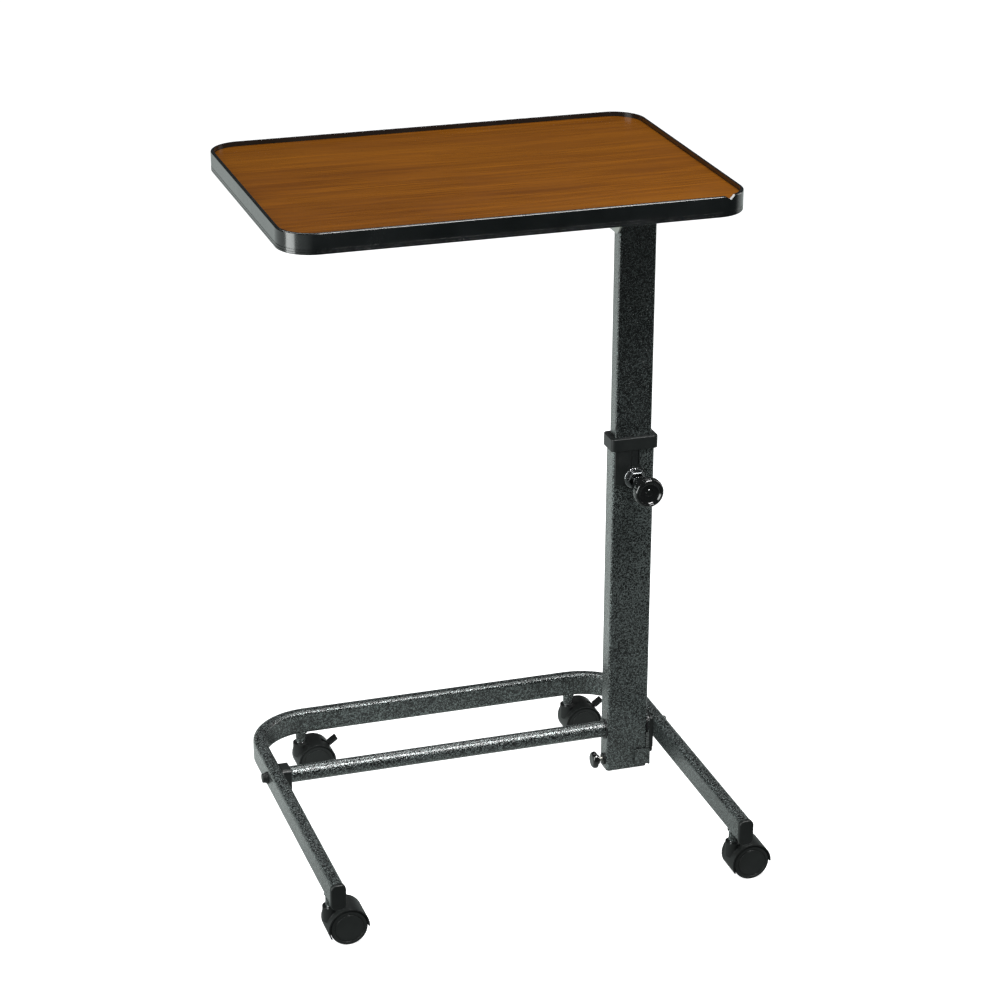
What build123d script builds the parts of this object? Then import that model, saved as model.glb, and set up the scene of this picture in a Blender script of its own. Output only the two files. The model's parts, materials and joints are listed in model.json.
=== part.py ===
from build123d import *
import math
import os

os.makedirs("parts", exist_ok=True)

# Overbed table. Millimetres, +Z up, floor at z = 0. The front (open side of the base) faces -Y.
# The origin is the middle of the footprint, so the table centre and the crossbar axis sit off it.

# ---- placement ----
CX = -8.375           # x of the table centre
BX = CX - 4.75        # x of the base centre
CY = 63.25            # y of the table centre, the mast and the crossbar axis
MX = BX + 233.5       # x of the mast centre

# ---- table top ----
TOP_W = 610.0
TOP_D = 435.0
TOP_R = 45.0
RIM_Z = 927.0         # top of the raised lip
BAND_H = 27.0
LIP_H = 6.0           # how far the lip stands above the laminate
WALL_T = 4.0          # band thickness outside the board
LAM_T = 0.8
CORE_T = 17.5
BACK_T = 0.7
LAM_Z = RIM_Z - LIP_H
CORE_Z = LAM_Z - LAM_T - CORE_T
BACK_Z = CORE_Z - BACK_T
BAND_Z = RIM_Z - BAND_H
NOTCH_W = 15.0

# ---- tilt bracket ----
PIVOT_Z = 864.0
PLATE_T = 2.5
PLATE_X0 = MX - 170.0
PLATE_X1 = MX + 48.0
PLATE_HALF_Y = 55.0
EAR_Z = 823.0         # lower end of the left ear
EAR_STEP = 9.0        # how much shorter the right ear is
EAR_FRONT = -26.0
EAR_BACK = 40.0
WASHER_T = 1.2

# ---- mast ----
OUT_W, OUT_D, OUT_R, OUT_T = 60.0, 30.0, 4.0, 2.0
IN_W, IN_D, IN_R, IN_T = 53.0, 23.0, 3.0, 1.8
OUT_Z0, OUT_Z1 = 24.0, 530.5
IN_Z0, IN_Z1 = 362.0, 881.0
COLLAR_W, COLLAR_D = 68.0, 38.0
COLLAR_Z0, COLLAR_Z1 = 515.0, 533.0
LINER_Z = 500.0       # lower end of the liner between the two tubes
FIT = 0.05            # running clearance on a radius or a side

# ---- height clamp ----
CLAMP_Z = 474.0
KNOB_D = 40.0
KNOB_T = 18.0

# ---- foot ----
BAR_Z = 85.0
BAR_D = 23.0
BAR_T = 1.5
SCREW_HEAD_R = 8.4
BUSH_D = 25.6
PIN_Z = 37.0
PIN_D = 7.0
PLATE_IN_X = MX + 32.0    # mast side face of the stop bracket
STOP_Z0 = 27.0        # lower edge of the stop bracket

# ---- base ----
BASE_HALF_W = 289.25
LEG_W, LEG_H, LEG_R, LEG_T = 18.5, 34.0, 6.0, 1.5
LEG_Z = 68.0
LEG_END_Y = CY - 338.0
RAIL_Y = CY + 154.0
BEND_R = 82.0
CAP_T = 6.0
CAP_W, CAP_H, CAP_R = 20.5, 36.0, 7.5

# ---- casters ----
STEM_FRONT_Y = CY - 302.0
STEM_REAR_Y = RAIL_Y
STEM_REAR_X = 203.0
TRAIL = 19.0
WHEEL_R = 25.0
WHEEL_W = 14.0
WEB = 10.0
HOOD_R = 27.5
POCKET_Z = 51.5
SOCKET_D = 14.8
RING_D = 14.8         # plated ring under the socket


def save(part, name):
    part.label = name
    export_step(part, "parts/" + name + ".step")


def face_x(x):
    # sketch plane looking along +X: local x is +Y, local y is +Z
    return Plane(origin=(x, 0, 0), x_dir=(0, 1, 0), z_dir=(1, 0, 0))


def face_y(y):
    # sketch plane facing -Y: local x is +X, local y is +Z
    return Plane(origin=(0, y, 0), x_dir=(1, 0, 0), z_dir=(0, -1, 0))


# ============================ table top ============================

with BuildPart() as table_core:
    with BuildSketch(Plane.XY.offset(CORE_Z)):
        with Locations((CX, CY)):
            RectangleRounded(TOP_W - 2 * WALL_T, TOP_D - 2 * WALL_T, TOP_R - WALL_T)
    extrude(amount=CORE_T)
    # groove round the edge for the barb of the band
    with BuildSketch(Plane.XY.offset(CORE_Z + 7)):
        with Locations((CX, CY)):
            RectangleRounded(TOP_W - 2 * WALL_T, TOP_D - 2 * WALL_T, TOP_R - WALL_T)
            RectangleRounded(TOP_W - 2 * WALL_T - 14, TOP_D - 2 * WALL_T - 14, TOP_R - WALL_T - 7,
                             mode=Mode.SUBTRACT)
    extrude(amount=3, mode=Mode.SUBTRACT)
    # pilot holes of the bracket screws
    with BuildSketch(Plane.XY.offset(CORE_Z)):
        for sx in (PLATE_X0 + 16, PLATE_X0 + 96, PLATE_X1 - 10):
            with Locations((sx, CY - 42), (sx, CY + 42)):
                Circle(2.0)
    extrude(amount=12, mode=Mode.SUBTRACT)
save(table_core.part, "table_core")

with BuildPart() as laminate:
    with BuildSketch(Plane.XY.offset(LAM_Z - LAM_T)):
        with Locations((CX, CY)):
            RectangleRounded(TOP_W - 2 * WALL_T - 0.6, TOP_D - 2 * WALL_T - 0.6, TOP_R - WALL_T - 0.3)
    extrude(amount=LAM_T)
save(laminate.part, "laminate")

with BuildPart() as backer_sheet:
    with BuildSketch(Plane.XY.offset(BACK_Z)):
        with Locations((CX, CY)):
            RectangleRounded(TOP_W - 2 * WALL_T - 0.6, TOP_D - 2 * WALL_T - 0.6, TOP_R - WALL_T - 0.3)
        for sx in (PLATE_X0 + 16, PLATE_X0 + 96, PLATE_X1 - 10):
            with Locations((sx, CY - 42), (sx, CY + 42)):
                Circle(2.0, mode=Mode.SUBTRACT)
    extrude(amount=BACK_T)
save(backer_sheet.part, "backer_sheet")

with BuildPart() as edge_band:
    with BuildSketch(Plane.XY.offset(BAND_Z)):
        with Locations((CX, CY)):
            RectangleRounded(TOP_W, TOP_D, TOP_R)
    extrude(amount=BAND_H)
    # room for the board, down to the flange that turns in under it
    with BuildSketch(Plane.XY.offset(BACK_Z)):
        with Locations((CX, CY)):
            RectangleRounded(TOP_W - 2 * WALL_T, TOP_D - 2 * WALL_T, TOP_R - WALL_T)
    extrude(amount=RIM_Z - BACK_Z, mode=Mode.SUBTRACT)
    with BuildSketch(Plane.XY.offset(BAND_Z)):
        with Locations((CX, CY)):
            RectangleRounded(TOP_W - 20, TOP_D - 20, TOP_R - 10)
    extrude(amount=BACK_Z - BAND_Z, mode=Mode.SUBTRACT)
    fillet(edge_band.faces().sort_by(Axis.Z)[-1].outer_wire().edges(), 1.8)
    fillet(edge_band.faces().sort_by(Axis.Z)[0].outer_wire().edges(), 1.0)
    # barb pushed into the groove of the board
    with BuildSketch(Plane.XY.offset(CORE_Z + 7.3)):
        with Locations((CX, CY)):
            RectangleRounded(TOP_W - 2 * WALL_T + 1, TOP_D - 2 * WALL_T + 1, TOP_R - WALL_T + 0.5)
            RectangleRounded(TOP_W - 2 * WALL_T - 12, TOP_D - 2 * WALL_T - 12, TOP_R - WALL_T - 6,
                             mode=Mode.SUBTRACT)
    extrude(amount=2.4)
    # two fine grooves round the lower part of the wall
    for gz in (BAND_Z + 3.2, BAND_Z + 6.4):
        with BuildSketch(Plane.XY.offset(gz)):
            with Locations((CX, CY)):
                RectangleRounded(TOP_W + 4, TOP_D + 4, TOP_R + 2)
                RectangleRounded(TOP_W - 1.2, TOP_D - 1.2, TOP_R - 0.6, mode=Mode.SUBTRACT)
        extrude(amount=0.8, mode=Mode.SUBTRACT)
    # relief where the two ends of the band meet, by the front right corner
    notch_a = math.radians(-72)
    corner = Vector(CX + TOP_W / 2 - TOP_R, CY - TOP_D / 2 + TOP_R)
    out = Vector(math.cos(notch_a), math.sin(notch_a))
    notch_plane = Plane(origin=(corner.X + out.X * (TOP_R - 12), corner.Y + out.Y * (TOP_R - 12), LAM_Z),
                        x_dir=(-out.Y, out.X, 0), z_dir=(out.X, out.Y, 0))
    with BuildSketch(notch_plane):
        with BuildLine():
            Polyline((-NOTCH_W / 2, LIP_H + 2), (-NOTCH_W / 2, LIP_H), (0, 0.6), (NOTCH_W / 2, LIP_H),
                     (NOTCH_W / 2, LIP_H + 2), close=True)
        make_face()
    extrude(amount=30, mode=Mode.SUBTRACT)
save(edge_band.part, "edge_band")

# ============================ tilt bracket ============================

EAR_IN = IN_W / 2 + WASHER_T

with BuildPart() as tilt_bracket:
    with BuildSketch(Plane.XY.offset(BACK_Z - PLATE_T)):
        with Locations(((PLATE_X0 + PLATE_X1) / 2, CY)):
            RectangleRounded(PLATE_X1 - PLATE_X0, 2 * PLATE_HALF_Y, 6)
    extrude(amount=PLATE_T)
    # stiffening flanges along the two long sides
    with BuildSketch(Plane.XY.offset(BACK_Z - 12)):
        with Locations(((PLATE_X0 + PLATE_X1) / 2, CY - PLATE_HALF_Y + PLATE_T / 2),
                       ((PLATE_X0 + PLATE_X1) / 2, CY + PLATE_HALF_Y - PLATE_T / 2)):
            Rectangle(PLATE_X1 - PLATE_X0 - 14, PLATE_T)
    extrude(amount=12 - PLATE_T / 2)
    # two ears hanging down beside the inner tube
    for x0, ear_z in ((MX - EAR_IN - PLATE_T, EAR_Z), (MX + EAR_IN, EAR_Z + EAR_STEP)):
        with BuildSketch(face_x(x0)):
            with BuildLine():
                Polyline((CY + EAR_FRONT - 8, BACK_Z - 1), (CY + EAR_FRONT - 8, BACK_Z - 12),
                         (CY + EAR_FRONT, BACK_Z - 22), (CY + EAR_FRONT, ear_z + 18),
                         (CY + EAR_FRONT + 15, ear_z), (CY + EAR_BACK - 8, ear_z),
                         (CY + EAR_BACK, ear_z + 8), (CY + EAR_BACK, BACK_Z - 12),
                         (CY + EAR_BACK + 8, BACK_Z - 1), close=True)
            make_face()
            with Locations((CY, PIVOT_Z)):
                Circle(4.0 + FIT, mode=Mode.SUBTRACT)
        extrude(amount=PLATE_T)
    with BuildSketch(Plane.XY.offset(BACK_Z - PLATE_T)):
        for sx in (PLATE_X0 + 16, PLATE_X0 + 96, PLATE_X1 - 10):
            with Locations((sx, CY - 42), (sx, CY + 42)):
                Circle(2.0)
    extrude(amount=PLATE_T, mode=Mode.SUBTRACT)
    fillet(tilt_bracket.edges().filter_by(Axis.X).filter_by_position(Axis.Z, EAR_Z - 1, EAR_Z + 28), 4)
save(tilt_bracket.part, "tilt_bracket")

with BuildPart() as bracket_screws:
    for sx in (PLATE_X0 + 16, PLATE_X0 + 96, PLATE_X1 - 10):
        for sy in (CY - 42, CY + 42):
            with BuildSketch(Plane.XY.offset(BACK_Z - PLATE_T - 2.4)):
                with Locations((sx, sy)):
                    Circle(4.5)
            extrude(amount=2.4)
            with BuildSketch(Plane.XY.offset(BACK_Z - PLATE_T)):
                with Locations((sx, sy)):
                    Circle(2.0)
            extrude(amount=PLATE_T + BACK_T + 11)
            # cross recess
            with BuildSketch(Plane.XY.offset(BACK_Z - PLATE_T - 2.4)):
                with Locations((sx, sy)):
                    Rectangle(4.6, 1.0)
                    Rectangle(1.0, 4.6)
            extrude(amount=1.2, mode=Mode.SUBTRACT)
save(bracket_screws.part, "bracket_screws")

with BuildPart() as pivot_bolt:
    bolt_x = MX - EAR_IN - PLATE_T
    with BuildSketch(face_x(bolt_x - 5.3)):
        with Locations((CY, PIVOT_Z)):
            RegularPolygon(6.5, 6, major_radius=False)
    extrude(amount=5.3)
    chamfer(pivot_bolt.faces().sort_by(Axis.X)[0].edges(), 0.6)
    with BuildSketch(face_x(bolt_x)):
        with Locations((CY, PIVOT_Z)):
            Circle(4.0)
    extrude(amount=2 * (EAR_IN + PLATE_T) + 10.5)
    chamfer(pivot_bolt.faces().sort_by(Axis.X)[-1].edges(), 0.8)
save(pivot_bolt.part, "pivot_bolt")

with BuildPart() as pivot_nut:
    nut_x = MX + EAR_IN + PLATE_T
    with BuildSketch(face_x(nut_x)):
        with Locations((CY, PIVOT_Z)):
            Circle(8.5)
            Circle(4.0, mode=Mode.SUBTRACT)
    extrude(amount=1.4)
    with BuildSketch(face_x(nut_x + 1.4)):
        with Locations((CY, PIVOT_Z)):
            RegularPolygon(6.5, 6, major_radius=False)
            Circle(4.0, mode=Mode.SUBTRACT)
    extrude(amount=5.6)
    with BuildSketch(face_x(nut_x + 7.0)):
        with Locations((CY, PIVOT_Z)):
            Circle(5.6)
            Circle(4.0, mode=Mode.SUBTRACT)
    extrude(amount=1.8)
save(pivot_nut.part, "pivot_nut")

with BuildPart() as pivot_washers:
    for x0 in (MX - EAR_IN, MX + IN_W / 2):
        with BuildSketch(face_x(x0)):
            with Locations((CY, PIVOT_Z)):
                Circle(10.0)
                Circle(4.0, mode=Mode.SUBTRACT)
        extrude(amount=WASHER_T)
save(pivot_washers.part, "pivot_washers")

with BuildPart() as pivot_spacer:
    with BuildSketch(face_x(MX - IN_W / 2 + IN_T)):
        with Locations((CY, PIVOT_Z)):
            Circle(6.5)
            Circle(4.0, mode=Mode.SUBTRACT)
    extrude(amount=IN_W - 2 * IN_T)
save(pivot_spacer.part, "pivot_spacer")

# ============================ mast ============================

with BuildPart() as inner_mast:
    with BuildSketch(Plane.XY.offset(IN_Z0)):
        with Locations((MX, CY)):
            RectangleRounded(IN_W, IN_D, IN_R)
            RectangleRounded(IN_W - 2 * IN_T, IN_D - 2 * IN_T, IN_R - IN_T, mode=Mode.SUBTRACT)
    extrude(amount=IN_Z1 - IN_Z0)
    with BuildSketch(face_x(MX - 40)):
        with Locations((CY, PIVOT_Z)):
            Circle(4.0)
    extrude(amount=80, mode=Mode.SUBTRACT)
save(inner_mast.part, "inner_mast")

with BuildPart() as mast_cap:
    with BuildSketch(Plane.XY.offset(IN_Z1)):
        with Locations((MX, CY)):
            RectangleRounded(IN_W, IN_D, IN_R)
    extrude(amount=2.5)
    fillet(mast_cap.faces().sort_by(Axis.Z)[-1].edges(), 1.0)
    with BuildSketch(Plane.XY.offset(IN_Z1 - 9)):
        with Locations((MX, CY)):
            RectangleRounded(IN_W - 2 * IN_T, IN_D - 2 * IN_T, IN_R - IN_T)
            RectangleRounded(IN_W - 2 * IN_T - 4, IN_D - 2 * IN_T - 4, 0.6, mode=Mode.SUBTRACT)
    extrude(amount=9)
save(mast_cap.part, "mast_cap")

with BuildPart() as guide_shoe:
    # flange under the tube end, sleeve round it and a short plug inside it
    with BuildSketch(Plane.XY.offset(IN_Z0 - 3)):
        with Locations((MX, CY)):
            RectangleRounded(OUT_W - 2 * OUT_T - 2 * FIT, OUT_D - 2 * OUT_T - 2 * FIT, OUT_R - OUT_T)
    extrude(amount=33)
    with BuildSketch(Plane.XY.offset(IN_Z0)):
        with Locations((MX, CY)):
            RectangleRounded(IN_W, IN_D, IN_R)
    extrude(amount=30, mode=Mode.SUBTRACT)
    with BuildSketch(Plane.XY.offset(IN_Z0)):
        with Locations((MX, CY)):
            RectangleRounded(IN_W - 2 * IN_T, IN_D - 2 * IN_T, IN_R - IN_T)
            RectangleRounded(IN_W - 2 * IN_T - 5, IN_D - 2 * IN_T - 5, 0.6, mode=Mode.SUBTRACT)
    extrude(amount=10)
save(guide_shoe.part, "guide_shoe")

with BuildPart() as outer_mast:
    with BuildSketch(Plane.XY.offset(OUT_Z0)):
        with Locations((MX, CY)):
            RectangleRounded(OUT_W, OUT_D, OUT_R)
            RectangleRounded(OUT_W - 2 * OUT_T, OUT_D - 2 * OUT_T, OUT_R - OUT_T, mode=Mode.SUBTRACT)
    extrude(amount=OUT_Z1 - OUT_Z0)
    # crossbar bushes through both narrow sides
    with BuildSketch(face_x(MX - 40)):
        with Locations((CY, BAR_Z)):
            Circle(BUSH_D / 2)
    extrude(amount=80, mode=Mode.SUBTRACT)
    # lock pin: threaded hole on the left, guide hole on the right
    with BuildSketch(face_x(MX - 40)):
        with Locations((CY, PIN_Z)):
            Circle(6.0)
    extrude(amount=30, mode=Mode.SUBTRACT)
    with BuildSketch(face_x(MX + 10)):
        with Locations((CY, PIN_Z)):
            Circle(PIN_D / 2 + FIT)
    extrude(amount=30, mode=Mode.SUBTRACT)
    # window of the pressure pad in the front wall
    with BuildSketch(face_y(CY)):
        with Locations((MX, CLAMP_Z)):
            Circle(6.0 + FIT)
    extrude(amount=30, mode=Mode.SUBTRACT)
save(outer_mast.part, "outer_mast")

with BuildPart() as collar:
    with BuildSketch(Plane.XY.offset(COLLAR_Z0)):
        with Locations((MX, CY)):
            RectangleRounded(COLLAR_W, COLLAR_D, 6)
    extrude(amount=COLLAR_Z1 - COLLAR_Z0)
    fillet(collar.faces().sort_by(Axis.Z)[-1].edges(), 1.2)
    fillet(collar.faces().sort_by(Axis.Z)[0].edges(), 0.6)
    # tongue down the front of the tube, ending in a round seat for the clamp
    with BuildSketch(face_y(CY)):
        with BuildLine():
            Polyline((MX - 28, COLLAR_Z0 + 4), (MX - 28, CLAMP_Z - 8), (MX, CLAMP_Z - 12),
                     (MX + 7.2, CLAMP_Z), (MX + 7.2, COLLAR_Z0 + 4), close=True)
        make_face()
        with Locations((MX, CLAMP_Z)):
            Circle(17.0)
    extrude(amount=OUT_D / 2 + 3)
    # two grooves that leave a narrow rib along the right of the tongue
    with BuildSketch(face_y(CY - OUT_D / 2 - 1)):
        with Locations((MX - 4.3, (COLLAR_Z0 + CLAMP_Z + 17) / 2)):
            Rectangle(1.2, COLLAR_Z0 - CLAMP_Z - 17)
        with Locations((MX + 5.1, (COLLAR_Z0 + CLAMP_Z + 17) / 2)):
            Rectangle(1.2, COLLAR_Z0 - CLAMP_Z - 17)
    extrude(amount=4, mode=Mode.SUBTRACT)
    # room for the outer tube
    with BuildSketch(Plane.XY.offset(CLAMP_Z - 50)):
        with Locations((MX, CY)):
            RectangleRounded(OUT_W, OUT_D, OUT_R)
    extrude(amount=OUT_Z1 - CLAMP_Z + 50, mode=Mode.SUBTRACT)
    # liner between the two tubes
    with BuildSketch(Plane.XY.offset(LINER_Z)):
        with Locations((MX, CY)):
            RectangleRounded(OUT_W - 2 * OUT_T - 2 * FIT, OUT_D - 2 * OUT_T - 2 * FIT, OUT_R - OUT_T)
    extrude(amount=OUT_Z1 - LINER_Z + 0.5)
    with BuildSketch(Plane.XY.offset(LINER_Z - 6)):
        with Locations((MX, CY)):
            RectangleRounded(IN_W + 2 * FIT, IN_D + 2 * FIT, IN_R + FIT)
    extrude(amount=50, mode=Mode.SUBTRACT)
    # hole of the clamp screw and its pad
    with BuildSketch(face_y(CY)):
        with Locations((MX, CLAMP_Z)):
            Circle(6.0 + FIT)
    extrude(amount=30, mode=Mode.SUBTRACT)
save(collar.part, "collar")

# ============================ height clamp ============================

FACE = CY - OUT_D / 2         # front face of the outer tube
SEAT = FACE - 3.0             # front of the tongue's round seat

with BuildPart() as clamp_washer:
    with BuildSketch(face_y(SEAT)):
        with Locations((MX, CLAMP_Z)):
            Circle(15.0)
            Circle(5.0 + FIT, mode=Mode.SUBTRACT)
    extrude(amount=2.0)
    fillet(clamp_washer.faces().sort_by(Axis.Y)[0].outer_wire().edges(), 0.5)
save(clamp_washer.part, "clamp_washer")

with BuildPart() as clamp_nut:
    with BuildSketch(face_y(SEAT - 2.0)):
        with Locations((MX, CLAMP_Z)):
            RegularPolygon(11.0, 6, major_radius=False)
            Circle(5.0 + FIT, mode=Mode.SUBTRACT)
    extrude(amount=8.5)
    chamfer(clamp_nut.faces().sort_by(Axis.Y)[0].outer_wire().edges(), 0.8)
save(clamp_nut.part, "clamp_nut")

with BuildPart() as pressure_pad:
    with BuildSketch(face_y(CY - IN_D / 2 - 0.06)):
        with Locations((MX, CLAMP_Z)):
            Circle(6.0)
    extrude(amount=2.9)
save(pressure_pad.part, "pressure_pad")

with BuildPart() as clamp_screw:
    screw_tip = CY - IN_D / 2 - 2.96
    with BuildSketch(face_y(screw_tip)):
        with Locations((MX, CLAMP_Z)):
            Circle(5.0)
    extrude(amount=48)
    chamfer(clamp_screw.faces().sort_by(Axis.Y)[-1].edges(), 0.8)
    # thread drawn as shallow rings on the stretch that shows
    for k in range(13):
        with BuildSketch(face_y(SEAT - 11.2 - 1.5 * k)):
            with Locations((MX, CLAMP_Z)):
                Circle(6.0)
                Circle(4.4, mode=Mode.SUBTRACT)
        extrude(amount=0.75, mode=Mode.SUBTRACT)
    # round flange the knob is moulded on
    with BuildSketch(face_y(SEAT - 32.5)):
        with Locations((MX, CLAMP_Z)):
            Circle(10.5)
    extrude(amount=2.0)
save(clamp_screw.part, "clamp_screw")

with BuildPart() as clamp_knob:
    hub_y = SEAT - 34.5
    with BuildSketch(face_y(hub_y)):
        with Locations((MX, CLAMP_Z)):
            Circle(9.5)
    extrude(amount=11)
    with BuildSketch(face_y(hub_y - 9.5)):
        with Locations((MX, CLAMP_Z)):
            Circle(KNOB_D / 2)
    extrude(amount=KNOB_T)
    knob_rims = clamp_knob.edges().filter_by(GeomType.CIRCLE).filter_by(
        lambda e: abs(e.radius - KNOB_D / 2) < 0.01)
    fillet(knob_rims, 2.6)
    # dished front with a shallow centre button
    with BuildSketch(face_y(hub_y - 9.5 - KNOB_T + 2.2)):
        with Locations((MX, CLAMP_Z)):
            Circle(14.0)
            Circle(5.0, mode=Mode.SUBTRACT)
    extrude(amount=4, mode=Mode.SUBTRACT)
    # finger flutes round the rim
    with BuildSketch(face_y(hub_y - 9.5)):
        with Locations((MX, CLAMP_Z)):
            with PolarLocations(KNOB_D / 2 + 1.6, 16):
                Circle(2.4)
    extrude(amount=KNOB_T, mode=Mode.SUBTRACT)
    # hollow for the screw
    with BuildSketch(face_y(hub_y)):
        with Locations((MX, CLAMP_Z)):
            Circle(5.0)
    extrude(amount=10, mode=Mode.SUBTRACT)
save(clamp_knob.part, "clamp_knob")

# ============================ foot of the mast ============================

MAST_L = MX - OUT_W / 2
MAST_R = MX + OUT_W / 2
BAR_X0 = BX - 270.5
BAR_X1 = BX + 270.5

with BuildPart() as pivot_bushes:
    for x_wall, side in ((MAST_L, -1), (MAST_R, 1)):
        with BuildSketch(face_x(x_wall)):
            with Locations((CY, BAR_Z)):
                Circle(14.5)
                Circle(BAR_D / 2 + FIT, mode=Mode.SUBTRACT)
        extrude(amount=side * 1.5)
        with BuildSketch(face_x(x_wall)):
            with Locations((CY, BAR_Z)):
                Circle(BUSH_D / 2)
                Circle(BAR_D / 2 + FIT, mode=Mode.SUBTRACT)
        extrude(amount=-side * 12)
save(pivot_bushes.part, "pivot_bushes")

with BuildPart() as crossbar:
    with BuildSketch(face_x(BAR_X0)):
        with Locations((CY, BAR_Z)):
            Circle(BAR_D / 2)
            Circle(BAR_D / 2 - BAR_T, mode=Mode.SUBTRACT)
    extrude(amount=BAR_X1 - BAR_X0)
save(crossbar.part, "crossbar")

with BuildPart() as bar_plugs:
    for x0 in (BAR_X0, BAR_X1 - 16):
        with BuildSketch(face_x(x0)):
            with Locations((CY, BAR_Z)):
                Circle(BAR_D / 2 - BAR_T)
                Circle(3.0, mode=Mode.SUBTRACT)
        extrude(amount=16)
save(bar_plugs.part, "bar_plugs")

with BuildPart() as crossbar_screws:
    for x_leg, side in ((BX - BASE_HALF_W, -1), (BX + BASE_HALF_W, 1)):
        with BuildSketch(face_x(x_leg)):
            with Locations((CY, BAR_Z)):
                Circle(SCREW_HEAD_R)
        extrude(amount=side * 2.0)
        with BuildSketch(face_x(x_leg + side * 2.0)):
            with Locations((CY, BAR_Z)):
                Circle(SCREW_HEAD_R - 1.0)
        extrude(amount=side * 5.5, taper=12)
        with BuildSketch(face_x(x_leg)):
            with Locations((CY, BAR_Z)):
                Circle(3.0)
        extrude(amount=-side * 28)
save(crossbar_screws.part, "crossbar_screws")

with BuildPart() as left_saddle:
    leg_in = BX - BASE_HALF_W + LEG_W
    with BuildSketch(face_x(leg_in)):
        with Locations((CY, BAR_Z - 4)):
            RectangleRounded(30, 35, 6)
    extrude(amount=13)
    fillet(left_saddle.faces().sort_by(Axis.X)[-1].edges(), 1.5)
    with BuildSketch(face_x(BAR_X0)):
        with Locations((CY, BAR_Z)):
            Circle(BAR_D / 2)
    extrude(amount=20, mode=Mode.SUBTRACT)
    with BuildSketch(face_x(leg_in)):
        with Locations((CY, BAR_Z)):
            Circle(3.0)
    extrude(amount=20, mode=Mode.SUBTRACT)
save(left_saddle.part, "left_saddle")

STOP_T = 2.5
STOP_X1 = PLATE_IN_X + STOP_T

with BuildPart() as stop_bracket:
    with BuildSketch(face_x(PLATE_IN_X)):
        with Locations((CY, BAR_Z)):
            Circle(17.0)
        with Locations((CY - 0.5, (BAR_Z + STOP_Z0) / 2)):
            Rectangle(33, BAR_Z - STOP_Z0)
        with Locations((CY - 9.15, STOP_Z0 + 14)):
            Rectangle(18.3, 24)
        with Locations((CY, BAR_Z)):
            Circle(BAR_D / 2, mode=Mode.SUBTRACT)
        with Locations((CY, PIN_Z)):
            Circle(PIN_D / 2 + 0.2, mode=Mode.SUBTRACT)
    extrude(amount=STOP_T)
    # tab bent across the front of the mast's lower corner
    with BuildSketch(face_y(CY - 15.8)):
        with Locations(((MX + 11 + STOP_X1) / 2, STOP_Z0 + 14)):
            Rectangle(STOP_X1 - MX - 11, 24)
    extrude(amount=STOP_T)
    fillet(stop_bracket.edges().filter_by(Axis.Y).filter_by_position(Axis.X, MX + 10, MX + 12), 3)
    fillet(stop_bracket.edges().filter_by(Axis.Z).filter_by_position(Axis.Y, CY - 18.4, CY - 18.2)
           .filter_by_position(Axis.X, STOP_X1 - 0.1, STOP_X1 + 0.1), 2)
save(stop_bracket.part, "stop_bracket")

with BuildPart() as right_saddle:
    with BuildSketch(face_x(STOP_X1)):
        with Locations((CY, BAR_Z - 12)):
            RectangleRounded(36, 58, 8)
    extrude(amount=BX + BASE_HALF_W - LEG_W - STOP_X1)
    # lip that covers the front edge of the stop bracket
    with BuildSketch(face_x(PLATE_IN_X + 0.2)):
        with Locations((CY - 18.6, BAR_Z - 7)):
            RectangleRounded(2.6, 46, 1.0)
    extrude(amount=BX + BASE_HALF_W - LEG_W - PLATE_IN_X - 0.2)
    with BuildSketch(face_x(STOP_X1)):
        with Locations((CY, BAR_Z)):
            Circle(BAR_D / 2)
    extrude(amount=BAR_X1 - STOP_X1, mode=Mode.SUBTRACT)
    with BuildSketch(face_x(STOP_X1)):
        with Locations((CY, BAR_Z)):
            Circle(3.0)
        with Locations((CY, PIN_Z)):
            Circle(8.0)
    extrude(amount=10, mode=Mode.SUBTRACT)
save(right_saddle.part, "right_saddle")

with BuildPart() as plunger_housing:
    with BuildSketch(face_x(MAST_L - 2.2)):
        with Locations((CY, PIN_Z)):
            Circle(8.5)
    extrude(amount=2.2)
    fillet(plunger_housing.faces().sort_by(Axis.X)[0].outer_wire().edges(), 0.8)
    with BuildSketch(face_x(MAST_L)):
        with Locations((CY, PIN_Z)):
            Circle(6.0)
    extrude(amount=8)
    with BuildSketch(face_x(MAST_L - 10)):
        with Locations((CY, PIN_Z)):
            Circle(PIN_D / 2 + FIT)
    extrude(amount=30, mode=Mode.SUBTRACT)
save(plunger_housing.part, "plunger_housing")

with BuildPart() as plunger_pin:
    with BuildSketch(face_x(MAST_L - 16.5)):
        with Locations((CY, PIN_Z)):
            Circle(PIN_D / 2)
    extrude(amount=76.3)
    chamfer(plunger_pin.faces().sort_by(Axis.X)[-1].edges(), 0.8)
    # collar the spring pushes against
    with BuildSketch(face_x(MAST_L + 24)):
        with Locations((CY, PIN_Z)):
            Circle(6.0)
    extrude(amount=1.5)
save(plunger_pin.part, "plunger_pin")

with BuildPart() as plunger_knob:
    with BuildSketch(face_x(MAST_L - 18.5)):
        with Locations((CY, PIN_Z)):
            Circle(12.0)
    extrude(amount=7.5)
    fillet(plunger_knob.faces().sort_by(Axis.X)[0].edges(), 4.5)
    fillet(plunger_knob.faces().sort_by(Axis.X)[-1].edges(), 1.6)
    with BuildSketch(face_x(MAST_L - 11.5)):
        with Locations((CY, PIN_Z)):
            Circle(7.0)
    extrude(amount=4.2)
    fillet(plunger_knob.faces().sort_by(Axis.X)[-1].edges(), 0.8)
    with BuildSketch(face_x(MAST_L - 16.5)):
        with Locations((CY, PIN_Z)):
            Circle(PIN_D / 2)
    extrude(amount=12, mode=Mode.SUBTRACT)
save(plunger_knob.part, "plunger_knob")

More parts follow.
